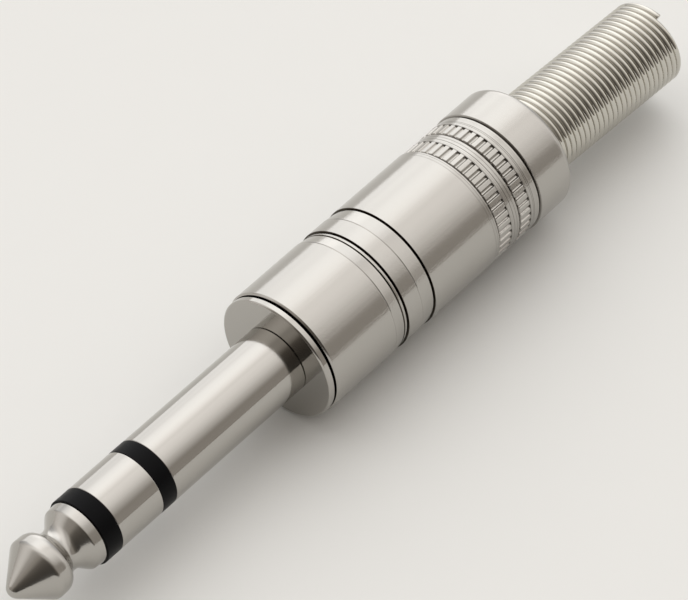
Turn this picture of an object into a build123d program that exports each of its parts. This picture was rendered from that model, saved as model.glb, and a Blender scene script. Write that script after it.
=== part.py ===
from build123d import *
import os
from math import cos, pi, radians, sin, tan

os.makedirs("parts", exist_ok=True)

# Stereo jack plug, 6.35 mm. Its axis lies along X, with the nose towards -X and the cable end towards +X.
# The origin is on the axis, in the plane of the shoulder that stops against the socket.
# All sizes are in millimetres and degrees.

# Finger, the part that enters the socket
shank_diameter = 6.35
finger_length = 31.6
tip_length = 8.0
tip_insulator_length = 1.72
ring_length = 4.74
ring_insulator_length = 1.62

# Nose of the tip contact
nose_radius = 0.88
cone_half_angle = 38.7
bulb_diameter = 5.78
bulb_width = 1.34
bulb_taper = 0.05
bulb_back_angle = 52.7
bulb_edge_radius = 0.4
bulb_back_share = 0.46
neck_diameter = 3.93
neck_width = 0.96
neck_share = 0.48
flare_angle = 42.9
band_front_diameter = 5.84
band_rear_diameter = 6.04

# Concentric conductors and tubes inside the finger
rod_diameter = 2.0
inner_tube_wall = 0.45
ring_tube_wall = 0.47
outer_tube_wall = 0.42
assembly_gap = 0.03

# Sleeve body: flange, threaded boss and the rear spigot that holds the cable clamp
flange_setback = 0.15
flange_bevel_height = 0.14
flange_bevel_length = 0.12
flange_thickness = 0.68
thread_step = 0.4
thread_clearance = 0.04
boss_length = 5.0
relief_width = 0.6
relief_depth = 0.55
boss_lead = 0.4
spigot_wall = 0.74
lip_height = 0.25
lip_length = 0.28

# Cable clamp, stamped and curved to the liner's bore
clamp_ring_width = 0.72
clamp_thickness = 0.45
clamp_strip_angle = 54.0
clamp_strip_length = 12.72
clamp_ear_angle = 220.0
clamp_ear_length = 4.2

# Insulating washers and solder lugs behind the sleeve body
washer_clearance = 0.1
ring_washer_thickness = 0.8
ring_washer_overhang = 0.4
tip_washer_thickness = 0.8
tip_washer_overhang = 0.75
tongue_rise = 0.25
tongue_clearance = 0.35
lug_thickness = 0.4
lug_bend_radius = 0.25
lug_hole_diameter = 1.2
ring_lug_width = 2.0
ring_lug_length = 6.2
tip_lug_width = 1.9
tip_lug_length = 5.6
peen_height = 0.3
peen_length = 0.25

# Liner inside the shell
liner_wall = 0.5
liner_clearance = 0.1

# Shell
shell_wall = 1.4
parting_gap = 0.14
shell_length = 30.58
shell_front_chamfer = 0.15
thread_runout = 0.3
bore_clearance = 0.05
rear_wall_thickness = 1.2
rear_edge_radius = 0.6
rear_lip_height = 0.48
rear_hole_chamfer = 0.4

# Fine grooves, by their distance from the shell's front: a shallow taper that ends in a narrow notch
groove_distances = (8.93, 12.31)
groove_taper_length = 1.45
groove_taper_depth = 0.12
notch_width = 0.18
notch_depth = 0.28

# Flute bands between three notches, which are placed by their distance from the shell's rear
band_notch_distances = (9.73, 6.96, 4.33)
band_notch_width = 0.24
band_recess = 0.08
strip_recess = 0.12
flute_count = 46
flute_share = 0.64
flute_depth = 0.18
flute_lengths = (1.48, 1.3)

# Close-wound spring
spring_wire = 0.6
spring_turn_gap = 0.01
spring_reach = 17.55
seat_turns = 2.0
neck_turns = 0.5
seat_clearance = 0.1
rear_hole_clearance = 0.12
spring_lean = 2.0
spring_lean_azimuth = 209.0
spring_end_azimuth = 105.0
chords_per_turn = 14
wire_sides = 5

# Radii that follow from the sizes above, from the axis outwards
shank_radius = shank_diameter / 2
rod_radius = rod_diameter / 2
inner_tube_bore = rod_radius + assembly_gap
inner_tube_radius = inner_tube_bore + inner_tube_wall
ring_tube_bore = inner_tube_radius + assembly_gap
ring_tube_radius = ring_tube_bore + ring_tube_wall
outer_tube_bore = ring_tube_radius + assembly_gap
outer_tube_radius = outer_tube_bore + outer_tube_wall
sleeve_bore = outer_tube_radius + assembly_gap
spigot_radius = sleeve_bore + spigot_wall
clamp_radius = spigot_radius + assembly_gap + clamp_ring_width
clamp_inside = clamp_radius - clamp_thickness
ring_washer_radius = clamp_inside - washer_clearance
ring_lug_radius = ring_washer_radius - ring_washer_overhang
ring_lug_height = ring_washer_radius + tongue_rise
tip_washer_radius = ring_lug_height - lug_thickness - tongue_clearance
tip_lug_radius = tip_washer_radius - tip_washer_overhang
tip_lug_height = tip_lug_radius + lug_thickness
liner_bore = clamp_radius + liner_clearance
liner_radius = liner_bore + liner_wall
shell_bore = liner_radius + bore_clearance
shell_radius = shell_bore + shell_wall
boss_radius = shell_bore + thread_step
thread_bore = boss_radius + thread_clearance
flange_radius = shell_radius - flange_setback
rear_hole_radius = shell_bore - rear_lip_height
spring_radius = rear_hole_radius - rear_hole_clearance - spring_wire / 2
seat_radius = shell_bore - seat_clearance - spring_wire / 2

# Stations along the axis, from the nose to the cable end
apex_x = -finger_length
tip_back = apex_x + tip_length
ring_front = tip_back + tip_insulator_length
ring_back = ring_front + ring_length
sleeve_front = ring_back + ring_insulator_length
shell_front = flange_thickness + parting_gap
boss_back = flange_thickness + relief_width + boss_length
thread_end = boss_back + thread_runout
lip_front = boss_back + clamp_thickness
lip_back = lip_front + lip_length
ring_lug_front = lip_back + ring_washer_thickness
ring_peen_front = ring_lug_front + lug_thickness
ring_peen_back = ring_peen_front + peen_length
tip_lug_front = ring_peen_back + tip_washer_thickness
tip_peen_front = tip_lug_front + lug_thickness
clamp_ear_start = boss_back + clamp_strip_length
shell_back = shell_front + shell_length
rear_wall_front = shell_back - rear_wall_thickness
groove_stations = [shell_front + distance for distance in groove_distances]
band_stations = [shell_back - distance for distance in band_notch_distances]
spring_pitch = spring_wire + spring_turn_gap
seat_first = rear_wall_front - assembly_gap - spring_wire / 2 - seat_turns * spring_pitch
spring_last = shell_back + spring_reach - spring_wire / 2
liner_front = boss_back + assembly_gap
liner_back = seat_first - spring_wire / 2 - assembly_gap


def corner(face, x, radius):
    """The vertex of an outline that lies nearest to a point."""
    return face.vertices().sort_by_distance((x, radius, 0))[0]


def turned(outline):
    """Solid turned about the axis from a closed outline of (x, radius) points."""
    return revolve(make_face(Polyline(*outline, close=True)), Axis.X)


def tube(start, end, bore, radius):
    """Plain tube between two stations."""
    return turned([(start, bore), (end, bore), (end, radius), (start, radius)])


def nose_outline():
    """Half section of the nose: rounded apex, cone, bulb, neck, flare and shoulder band."""
    slope = radians(cone_half_angle)
    back_slope = radians(bulb_back_angle)
    flare_slope = radians(flare_angle)
    centre = apex_x + nose_radius
    middle = radians(90 - cone_half_angle) / 2
    bulb_front_r = bulb_diameter / 2
    bulb_back_r = bulb_front_r - bulb_taper
    neck_r = neck_diameter / 2
    band_front_r = band_front_diameter / 2
    bulb_front = apex_x - nose_radius * (1 / sin(slope) - 1) + bulb_front_r / tan(slope)
    bulb_back = bulb_front + bulb_width
    neck_front = bulb_back + (bulb_back_r - neck_r) / tan(back_slope)
    neck_back = neck_front + neck_width
    band_front = neck_back + (band_front_r - neck_r) / tan(flare_slope)
    back_length = (bulb_back_r - neck_r) / sin(back_slope)
    bulb_back_radius = bulb_back_share * back_length / tan(back_slope / 2)
    neck_radius = min(
        neck_share * back_length / tan(back_slope / 2),
        2 * neck_share * neck_width / (tan(back_slope / 2) + tan(flare_slope / 2)),
    )
    cone_start = (centre - nose_radius * sin(slope), nose_radius * cos(slope))
    cap = ThreePointArc(
        (apex_x, 0),
        (centre - nose_radius * cos(middle), nose_radius * sin(middle)),
        cone_start,
    )
    flank = Polyline(
        cone_start,
        (bulb_front, bulb_front_r),
        (bulb_back, bulb_back_r),
        (neck_front, neck_r),
        (neck_back, neck_r),
        (band_front, band_front_r),
        (tip_back, band_rear_diameter / 2),
        (tip_back, 0),
        (apex_x, 0),
    )
    face = make_face([*cap.edges(), *flank.edges()])
    face = fillet(corner(face, bulb_front, bulb_front_r), bulb_edge_radius)
    face = fillet(corner(face, bulb_back, bulb_back_r), bulb_back_radius)
    necks = [corner(face, neck_front, neck_r), corner(face, neck_back, neck_r)]
    return fillet(necks, neck_radius)


def tip_contact():
    """Nose and rod in one piece, with the rod's end peened over the tip lug."""
    nose = revolve(nose_outline(), Axis.X)
    rod = turned([
        (tip_back - nose_radius, 0),
        (tip_peen_front, 0),
        (tip_peen_front, rod_radius),
        (tip_back - nose_radius, rod_radius),
    ])
    head = turned([
        (tip_peen_front, 0),
        (tip_peen_front + peen_length, 0),
        (tip_peen_front + peen_length, rod_radius),
        (tip_peen_front, rod_radius + peen_height),
    ])
    return nose + rod + head


def tip_insulator():
    """Ring between the tip and the ring contact, flush with the shank."""
    return tube(tip_back, ring_front, inner_tube_bore, shank_radius)


def ring_insulator():
    """Ring between the ring contact and the sleeve, flush with the shank."""
    return tube(ring_back, sleeve_front, outer_tube_bore, shank_radius)


def inner_tube():
    """Insulating tube over the rod, as long as the ring contact's tube."""
    return tube(ring_front, ring_peen_back, inner_tube_bore, inner_tube_radius)


def outer_tube():
    """Insulating tube over the ring contact's tube, through the sleeve body."""
    return tube(sleeve_front, lip_back, outer_tube_bore, outer_tube_radius)


def ring_contact():
    """Ring and its thin tube in one piece, with the tube's end peened over the ring lug."""
    return turned([
        (ring_front, ring_tube_bore),
        (ring_peen_back, ring_tube_bore),
        (ring_peen_back, ring_tube_radius),
        (ring_peen_front, ring_tube_radius + peen_height),
        (ring_peen_front, ring_tube_radius),
        (ring_back, ring_tube_radius),
        (ring_back, shank_radius),
        (ring_front, shank_radius),
    ])


def sleeve_body():
    """Shank, bevelled flange, threaded boss and the spigot whose lip holds the cable clamp."""
    relief_r = boss_radius - relief_depth
    relief_back = flange_thickness + relief_width
    return turned([
        (sleeve_front, sleeve_bore),
        (lip_back, sleeve_bore),
        (lip_back, spigot_radius),
        (lip_front, spigot_radius + lip_height),
        (lip_front, spigot_radius),
        (boss_back, spigot_radius),
        (boss_back, boss_radius - boss_lead),
        (boss_back - boss_lead, boss_radius),
        (relief_back, boss_radius),
        (relief_back, relief_r),
        (flange_thickness, relief_r),
        (flange_thickness, flange_radius),
        (flange_bevel_length, flange_radius),
        (0, flange_radius - flange_bevel_height),
        (0, shank_radius),
        (sleeve_front, shank_radius),
    ])


def sector(start, end, bore, radius, angle):
    """Part of a tube that spans an angle, centred on +Y."""
    half = radians(angle) / 2
    arc = [
        ((radius * cos(t), radius * sin(t)), (bore * cos(t), bore * sin(t)))
        for t in (-half, 0, half)
    ]
    outer = ThreePointArc(arc[0][0], arc[1][0], arc[2][0])
    inner = ThreePointArc(arc[0][1], arc[1][1], arc[2][1])
    sides = [Line(arc[0][0], arc[0][1]), Line(arc[2][0], arc[2][1])]
    face = make_face([*outer.edges(), *inner.edges(), *sides[0].edges(), *sides[1].edges()])
    section = Plane((start, 0, 0), x_dir=(0, 1, 0), z_dir=(1, 0, 0)) * face
    return extrude(section, end - start)


def cable_clamp():
    """Stamped ground lug: a ring on the spigot, a long curved strip and two ears round the cable."""
    ear_end = clamp_ear_start + clamp_ear_length
    ring = tube(boss_back, lip_front, spigot_radius + assembly_gap, clamp_radius)
    strip = sector(boss_back, ear_end, clamp_inside, clamp_radius, clamp_strip_angle)
    ears = sector(clamp_ear_start, ear_end, clamp_inside, clamp_radius, clamp_ear_angle)
    return ring + strip + ears


def ring_washer():
    """Insulating washer between the sleeve body's lip and the ring lug."""
    return tube(lip_back, ring_lug_front, outer_tube_bore, ring_washer_radius)


def tip_washer():
    """Insulating washer between the peened ring tube and the tip lug."""
    return tube(ring_peen_back, tip_lug_front, inner_tube_bore, tip_washer_radius)


def solder_lug(front, bore, disc_radius, height, width, length, side):
    """Stamped lug: a disc with a tongue bent back along the axis, rounded and pierced at its end."""
    disc = tube(front, front + lug_thickness, bore, disc_radius)
    end = front + length
    outline = Polyline(
        (front, bore + lug_thickness),
        (front, height),
        (end, height),
        (end, height - lug_thickness),
        (front + lug_thickness, height - lug_thickness),
        (front + lug_thickness, bore + lug_thickness),
        close=True,
    )
    profile = make_face(outline)
    profile = fillet(corner(profile, front, height), lug_bend_radius + lug_thickness)
    inner_bend = corner(profile, front + lug_thickness, height - lug_thickness)
    profile = fillet(inner_bend, lug_bend_radius)
    tongue = extrude(Plane.XZ * profile, width / 2, both=True)
    plan = Pos(end - width / 2, 0, height) * Cylinder(width / 2, 2 * height)
    plan += Pos((front + end - width / 2) / 2, 0, height) * Box(end - width / 2 - front, width, 2 * height)
    hole = Pos(end - width / 2, 0, height) * Cylinder(lug_hole_diameter / 2, 2 * height)
    lug = disc + (tongue & plan) - hole
    return Rot(X=side) * lug


def ring_lug():
    """Solder lug of the ring contact, with its tongue below the axis."""
    return solder_lug(
        ring_lug_front, outer_tube_bore, ring_lug_radius,
        ring_lug_height, ring_lug_width, ring_lug_length, 180,
    )


def tip_lug():
    """Solder lug of the tip contact, with its tongue above the axis."""
    return solder_lug(
        tip_lug_front, inner_tube_bore, tip_lug_radius,
        tip_lug_height, tip_lug_width, tip_lug_length, 0,
    )


def liner():
    """Insulating tube over the lugs, which also traps the spring's seat turns."""
    return tube(liner_front, liner_back, liner_bore, liner_radius)


def groove_points(notch):
    """Outline points of one fine groove: taper, pointed notch and step back to full size."""
    front = notch - notch_width / 2
    back = notch + notch_width / 2
    return [
        (front - groove_taper_length, shell_radius),
        (front, shell_radius - groove_taper_depth),
        (notch, shell_radius - notch_depth),
        (back, shell_radius),
    ]


def band_points():
    """Outline points of the flute bands: three pointed notches, and behind each row of flutes a plain strip."""
    band_r = shell_radius - band_recess
    strip_r = shell_radius - strip_recess
    half = band_notch_width / 2
    before = [shell_radius] + [strip_r] * len(flute_lengths)
    after = [band_r] * len(flute_lengths) + [shell_radius]
    points = []
    for index, notch in enumerate(band_stations):
        points += [
            (notch - half, before[index]),
            (notch, shell_radius - notch_depth),
            (notch + half, after[index]),
        ]
        if index < len(flute_lengths):
            step = notch + half + flute_lengths[index]
            points += [(step, band_r), (step, strip_r)]
    return points


def flute_cutters():
    """Short pointed flutes, from the notch in front of each row to the plain strip behind it."""
    band_r = shell_radius - band_recess
    floor_r = band_r - flute_depth
    half_width = pi * band_r / flute_count * flute_share
    top_r = shell_radius + flute_depth
    half_top = half_width * (top_r - floor_r) / flute_depth
    profile = Polyline((0, floor_r), (half_top, top_r), (-half_top, top_r), close=True)
    cutters = []
    for notch, length in zip(band_stations, flute_lengths):
        section = Plane((notch, 0, 0), x_dir=(0, 1, 0), z_dir=(1, 0, 0)) * make_face(profile)
        prism = extrude(section, band_notch_width / 2 + length)
        cutters += [Rot(X=360 * index / flute_count) * prism for index in range(flute_count)]
    return cutters


def shell():
    """Turned barrel: threaded front bore, plain bore for the liner and a rear wall round the spring."""
    blank = turned([
        (shell_front, thread_bore + shell_front_chamfer),
        (shell_front + shell_front_chamfer, thread_bore),
        (thread_end, thread_bore),
        (thread_end, shell_bore),
        (rear_wall_front, shell_bore),
        (rear_wall_front, rear_hole_radius + rear_hole_chamfer),
        (rear_wall_front + rear_hole_chamfer, rear_hole_radius),
        (shell_back, rear_hole_radius),
        (shell_back, shell_radius),
        *reversed(band_points()),
        *[point for notch in reversed(groove_stations) for point in reversed(groove_points(notch))],
        (shell_front + shell_front_chamfer, shell_radius),
        (shell_front, shell_radius - shell_front_chamfer),
    ])
    rims = [e for e in blank.edges().filter_by(GeomType.CIRCLE) if abs(e.center().X - shell_back) < 0.001]
    blank = fillet(rims[-1] if rims[-1].radius > rims[0].radius else rims[0], rear_edge_radius)
    return blank - flute_cutters()


def wire_section(turns, radius, x):
    """Wire's cross-section in the plane through the axis; the coil leans away from the axis behind the shell."""
    outline = RegularPolygon(spring_wire / 2 / cos(pi / 2 / wire_sides), wire_sides)
    section = Plane((x, radius, 0), x_dir=(0, 1, 0), z_dir=(0, 0, -1)) * outline.face()
    drift = max(x - shell_back, 0) * tan(radians(spring_lean))
    lean = radians(spring_lean_azimuth)
    return Pos(0, drift * cos(lean), drift * sin(lean)) * Rot(X=360 * turns) * section


def spring():
    """Close-wound wire: seat turns inside the shell, then the body that shows, in short straight chords."""
    total = (spring_last - seat_first) / spring_pitch
    count = round(total * chords_per_turn)
    start = spring_end_azimuth / 360 - total
    sections = []
    for index in range(count + 1):
        turns = total * index / count
        blend = min(max((turns - seat_turns) / neck_turns, 0), 1)
        radius = seat_radius + (spring_radius - seat_radius) * blend
        sections.append(wire_section(start + turns, radius, seat_first + turns * spring_pitch))
    return loft(sections, ruled=True)


makers = {
    "tip_contact": tip_contact,
    "tip_insulator": tip_insulator,
    "ring_contact": ring_contact,
    "ring_insulator": ring_insulator,
    "inner_tube": inner_tube,
    "outer_tube": outer_tube,
    "sleeve_body": sleeve_body,
    "cable_clamp": cable_clamp,
    "ring_washer": ring_washer,
    "ring_lug": ring_lug,
    "tip_washer": tip_washer,
    "tip_lug": tip_lug,
    "liner": liner,
    "shell": shell,
    "spring": spring,
}

for name, maker in makers.items():
    export_step(maker(), f"parts/{name}.step")
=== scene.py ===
"""Finishes and stage of a 6.35 mm stereo jack plug.

The axis of the plug lies along X, with the nose towards -X. Outlines are worked out in millimetres, as
pairs of a station along the axis and a radius, and their meshes are in metres.
"""

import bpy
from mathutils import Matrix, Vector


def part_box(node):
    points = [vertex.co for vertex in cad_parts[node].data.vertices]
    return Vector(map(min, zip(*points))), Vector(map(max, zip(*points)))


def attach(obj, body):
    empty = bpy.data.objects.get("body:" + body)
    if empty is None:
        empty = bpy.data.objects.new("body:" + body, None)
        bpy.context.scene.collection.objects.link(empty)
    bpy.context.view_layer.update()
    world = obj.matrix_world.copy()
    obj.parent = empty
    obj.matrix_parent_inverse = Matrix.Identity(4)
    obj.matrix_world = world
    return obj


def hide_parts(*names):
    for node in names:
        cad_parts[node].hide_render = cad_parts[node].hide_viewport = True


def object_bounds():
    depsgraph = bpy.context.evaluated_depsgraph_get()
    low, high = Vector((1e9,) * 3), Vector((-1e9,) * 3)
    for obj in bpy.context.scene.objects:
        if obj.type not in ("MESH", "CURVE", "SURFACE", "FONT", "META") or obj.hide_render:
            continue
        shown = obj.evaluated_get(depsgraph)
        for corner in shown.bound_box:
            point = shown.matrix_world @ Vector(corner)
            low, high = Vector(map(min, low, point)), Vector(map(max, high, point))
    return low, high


bl_info = {
    "name": "Stereo Jack Plug",
    "version": (1, 0, 0),
    "blender": (4, 5, 0),
    "location": "View3D > Sidebar > Jack Plug",
    "description": "Turned, plated and moulded pieces of a 6.35 mm stereo jack plug",
    "category": "Add Mesh",
}

from math import ceil, cos, pi, radians, sin, tan

import bpy
import numpy as np
from mathutils import Vector

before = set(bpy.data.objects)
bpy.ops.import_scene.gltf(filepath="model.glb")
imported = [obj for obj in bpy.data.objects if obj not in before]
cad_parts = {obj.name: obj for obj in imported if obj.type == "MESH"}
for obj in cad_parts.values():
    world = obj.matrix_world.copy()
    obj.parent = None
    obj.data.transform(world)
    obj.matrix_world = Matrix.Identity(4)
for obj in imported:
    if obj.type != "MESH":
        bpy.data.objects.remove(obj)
cad_box = [[float(value) for value in corner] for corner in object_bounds()]

MM = 0.001


def linear(code):
    """Linear colour of an sRGB hex value: c / 12.92 below 0.04045, else ((c + 0.055) / 1.055) to the 2.4."""
    values = [int(code[i:i + 2], 16) / 255 for i in (1, 3, 5)]
    return tuple(c / 12.92 if c < 0.04045 else ((c + 0.055) / 1.055) ** 2.4 for c in values)


def span(node):
    """First and last station and outer radius of a CAD node, in millimetres."""
    low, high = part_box(node)
    return low[0] / MM, high[0] / MM, (high[1] - low[1]) / 2 / MM


def length_property(name, description, millimetres):
    """A length that the sidebar shows in the scene's unit."""
    return bpy.props.FloatProperty(
        name=name, description=description, default=millimetres * MM, min=0, precision=5,
        unit="LENGTH", subtype="DISTANCE",
    )


def colour_property(name, description, code):
    """A colour that the sidebar shows as a swatch."""
    return bpy.props.FloatVectorProperty(
        name=name, description=description, default=linear(code), min=0, max=1, size=3, subtype="COLOR",
    )


class JackPlugSizes(bpy.types.PropertyGroup):
    """Sizes of the finish and of the forms that the sidebar lets a user change."""

    edge: length_property("Edge radius", "Rounding of the turned edges", 0.05)
    pitch: length_property("Thread pitch", "Axial distance from one thread crest to the next", 0.75)
    thread: length_property("Thread depth", "Height of the boss's thread from root to crest", 0.4)
    flute_depth: length_property("Flute depth", "Depth of the short axial flutes", 0.25)
    notch: length_property("Notch depth", "Depth of the pointed notches round the shell", 0.28)
    wire: length_property("Wire diameter", "Diameter of the spring's round wire", 0.6)
    flutes: bpy.props.IntProperty(
        name="Flutes", description="Flutes in each row round the shell", default=46, min=3,
    )
    lean: bpy.props.FloatProperty(
        name="Spring lean", description="Angle by which the spring leans behind the shell",
        default=radians(2), unit="ROTATION", subtype="ANGLE",
    )


class JackPlugColours(bpy.types.PropertyGroup):
    """Colours of the plated, moulded and stamped surfaces."""

    nickel: colour_property("Nickel plate", "Reflected colour of the polished nickel plate", "#b0ada8")
    satin: colour_property("Satin nickel", "Reflected colour of the shell's satin nickel plate", "#b0ada8")
    wire: colour_property("Spring wire", "Reflected colour of the plated spring wire", "#c9c6be")
    # The residue colour is mostly painted shade: it darkens grooves, gaps, notches and the tool's passes.
    residue_and_shade: colour_property("Residue", "Colour of the film that stays in sharp grooves", "#3a342c")
    nylon: colour_property("Black nylon", "Colour of the moulded insulating rings", "#0a0a0c")
    board: colour_property("Laminated board", "Colour of the punched washers", "#5b3a22")
    tin: colour_property("Tinned brass", "Reflected colour of the stamped lugs", "#bdbcb6")
    liner: colour_property("Natural polyethylene", "Colour of the tube inside the shell", "#dddcd2")
    floor: colour_property("Floor", "Colour of the floor under the plug", "#ebebe9")


def add_node(tree, kind, settings=None, links=None):
    """Adds a shader node, sets its sockets or attributes by name, and links sockets that feed it."""
    node = tree.nodes.new(kind)
    for key, value in (settings or {}).items():
        if isinstance(key, int) or key in node.inputs:
            node.inputs[key].default_value = value
        else:
            setattr(node, key, value)
    for key, source in (links or {}).items():
        tree.links.new(source, node.inputs[key])
    return node


def new_material(name, surface):
    """A material whose node tree holds an output and a Principled surface with the given sockets."""
    material = bpy.data.materials.new(name)
    material.use_nodes = True
    tree = material.node_tree
    tree.nodes.clear()
    shader = add_node(tree, "ShaderNodeBsdfPrincipled", surface)
    add_node(tree, "ShaderNodeOutputMaterial", links={"Surface": shader.outputs["BSDF"]})
    return material, tree, shader


# The map "wrap" runs round the axis, and a quarter of a turn lays the spread of the reflections along it.
QUARTER_TURN = 0.25
# A tool's passes lie about 0.05 mm apart. They are drawn at twice that, so that they show in the render.
PASS_PERIOD = 0.11
PASS_HEIGHT = 0.004
# How far a pass's line is darkened towards the residue colour: painted shade along the tool's passes.
PASS_SHADE = 0.7
# The share of the passes' height at which one begins to darken with painted shade,
# and at which it is darkest.
PASS_DARKENING = (0.5, 0.7)
# The plate is a little rougher or smoother in clouds of this width, by this share.
CLOUD_WIDTH = 0.4
CLOUD_SWING = 0.08
# Most values of a noise lie in this range.
NOISE_RANGE = (0.3, 0.7)
# The plate's own grain is ten times finer, and is drawn as coarse as it needs to show.
GRAIN_WIDTH = 0.12
# Sockets of a colour Mix node, which share their names with those of its other types.
MIX_SHARE, MIX_FIRST, MIX_SECOND, MIX_RESULT = 0, 6, 7, 2


def axis_position(tree, period):
    """Position along the plug's axis, in periods of so many millimetres."""
    position = add_node(tree, "ShaderNodeTexCoord")
    parts = add_node(tree, "ShaderNodeSeparateXYZ", links={"Vector": position.outputs["Object"]})
    scaled = add_node(
        tree, "ShaderNodeMath", {"operation": "DIVIDE", 1: period * MM}, {0: parts.outputs["X"]},
    )
    return scaled.outputs[0]


def turned_finish(name, colours, colour, roughness, spread, ring_period, ring_height, grain_height):
    """Plated turned metal: fine rings left by the lathe lie round the axis under the plate.

    The rings are noise along the axis alone, and spread reflections along it. A finer grain in all
    directions comes from the plating bath. Where the attribute "tooling" is 1, the tool's single passes
    show as darker lines of painted shade. Where the attribute of painted shade and residue is 1, in sharp
    grooves, gaps and notches, the residue colour covers the metal: painted shade, with some residue film.
    """
    material, tree, shader = new_material(name, {
        "Metallic": 1.0, "Anisotropic": spread, "Anisotropic Rotation": QUARTER_TURN,
    })
    rings = add_node(
        tree, "ShaderNodeTexNoise",
        {"noise_dimensions": "1D", "Scale": 1.0, "Detail": 3.0, "Roughness": 0.7},
        {"W": axis_position(tree, ring_period)},
    )
    ring_bump = add_node(
        tree, "ShaderNodeBump", {"Distance": ring_height * MM}, {"Height": rings.outputs["Fac"]},
    )
    wave = add_node(
        tree, "ShaderNodeTexNoise", {"noise_dimensions": "1D", "Scale": 1.0, "Detail": 1.0},
        {"W": axis_position(tree, PASS_PERIOD)},
    )
    tooling = add_node(tree, "ShaderNodeAttribute", {"attribute_name": "tooling"})
    passes = add_node(
        tree, "ShaderNodeMath", {"operation": "MULTIPLY"},
        {0: wave.outputs["Fac"], 1: tooling.outputs["Fac"]},
    )
    pass_bump = add_node(
        tree, "ShaderNodeBump", {"Distance": PASS_HEIGHT * MM},
        {"Height": passes.outputs[0], "Normal": ring_bump.outputs["Normal"]},
    )
    position = add_node(tree, "ShaderNodeTexCoord")
    cloud, grain = (
        add_node(
            tree, "ShaderNodeTexNoise", {"Scale": 1 / (width * MM), "Detail": 2.0},
            {"Vector": position.outputs["Object"]},
        )
        for width in (CLOUD_WIDTH, GRAIN_WIDTH)
    )
    grain_bump = add_node(
        tree, "ShaderNodeBump", {"Distance": grain_height * MM},
        {"Height": grain.outputs["Fac"], "Normal": pass_bump.outputs["Normal"]},
    )
    shade = add_node(
        tree, "ShaderNodeMapRange",
        {
            "From Min": NOISE_RANGE[0], "From Max": NOISE_RANGE[1],
            "To Min": roughness * (1 - CLOUD_SWING), "To Max": roughness * (1 + CLOUD_SWING),
        },
        {"Value": cloud.outputs["Fac"]},
    )
    crests = add_node(
        tree, "ShaderNodeMapRange",
        {"From Min": PASS_DARKENING[0], "From Max": PASS_DARKENING[1], "To Max": PASS_SHADE},
        {"Value": passes.outputs[0]},
    )
    # Painted shade: grooves, gaps, notches and the tool's passes take the dark residue colour where shade
    # falls.
    painted_shade_and_residue = add_node(tree, "ShaderNodeAttribute", {"attribute_name": "painted_shade_and_residue"})
    shade_and_residue_share = add_node(
        tree, "ShaderNodeMath", {"operation": "MAXIMUM"},
        {0: painted_shade_and_residue.outputs["Fac"], 1: crests.outputs["Result"]},
    )
    cover = add_node(
        tree, "ShaderNodeMix",
        {"data_type": "RGBA", MIX_FIRST: (*colour, 1), MIX_SECOND: (*colours.residue_and_shade, 1)},
        {MIX_SHARE: shade_and_residue_share.outputs[0]},
    )
    tangent = add_node(tree, "ShaderNodeTangent", {"direction_type": "UV_MAP", "uv_map": "wrap"})
    tree.links.new(cover.outputs[MIX_RESULT], shader.inputs["Base Color"])
    tree.links.new(shade.outputs["Result"], shader.inputs["Roughness"])
    tree.links.new(grain_bump.outputs["Normal"], shader.inputs["Normal"])
    tree.links.new(tangent.outputs["Tangent"], shader.inputs["Tangent"])
    return material


def grained_finish(name, surface, light, dark_share, grain, bump_height, stretch=(1, 1, 1)):
    """Moulded, stamped, drawn or pressed surface: two near colours and a low relief share one noise.

    The dark colour has the given share of the light one's brightness. Grain and height are in millimetres.
    """
    dark = [value * dark_share for value in light]
    material, tree, shader = new_material(name, surface)
    position = add_node(tree, "ShaderNodeTexCoord")
    stretched = add_node(
        tree, "ShaderNodeMapping", {"Scale": stretch}, {"Vector": position.outputs["Object"]},
    )
    noise = add_node(
        tree, "ShaderNodeTexNoise", {"Scale": 1 / (grain * MM), "Detail": 3.0},
        {"Vector": stretched.outputs["Vector"]},
    )
    bump = add_node(
        tree, "ShaderNodeBump", {"Distance": bump_height * MM}, {"Height": noise.outputs["Fac"]},
    )
    mottle = add_node(
        tree, "ShaderNodeMix", {"data_type": "RGBA", MIX_FIRST: (*dark, 1), MIX_SECOND: (*light, 1)},
        {MIX_SHARE: noise.outputs["Fac"]},
    )
    tree.links.new(mottle.outputs[MIX_RESULT], shader.inputs["Base Color"])
    tree.links.new(bump.outputs["Normal"], shader.inputs["Normal"])
    return material


def polished_nickel(colours):
    """Nickel plate over polished brass: a clear mirror, with reflections dragged a little along the axis."""
    return turned_finish(
        "polished nickel plate", colours, colours.nickel, roughness=0.1, spread=0.5,
        ring_period=0.16, ring_height=0.00035, grain_height=0.001,
    )


def rubbed_nickel(colours):
    """The same plate on the tip, rubbed by the socket's contact spring: its reflections have soft edges."""
    return turned_finish(
        "rubbed nickel plate", colours, colours.nickel, roughness=0.15, spread=0.4,
        ring_period=0.16, ring_height=0.0005, grain_height=0.003,
    )


def satin_nickel(colours):
    """Nickel plate over fine-turned brass: broad soft bands with ragged edges, cut by the tool's rings."""
    return turned_finish(
        "satin nickel plate", colours, colours.satin, roughness=0.16, spread=0.5,
        ring_period=0.14, ring_height=0.0006, grain_height=0.006,
    )


def spring_wire(colours):
    """Steel wire drawn through a die and nickel plated: bright, with hard thin highlights on every turn."""
    return grained_finish(
        "drawn spring wire, nickel plated", {"Metallic": 1.0, "Roughness": 0.03}, colours.wire,
        dark_share=0.95, grain=0.3, bump_height=0.0003,
    )


def moulded_nylon(colours):
    """Nylon moulded black: a deep black that takes only a dull sheen at its edges."""
    return grained_finish(
        "moulded black nylon", {"Roughness": 0.35, "IOR": 1.53, "Specular IOR Level": 0.06}, colours.nylon,
        dark_share=0.7, grain=0.25, bump_height=0.002,
    )


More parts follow.
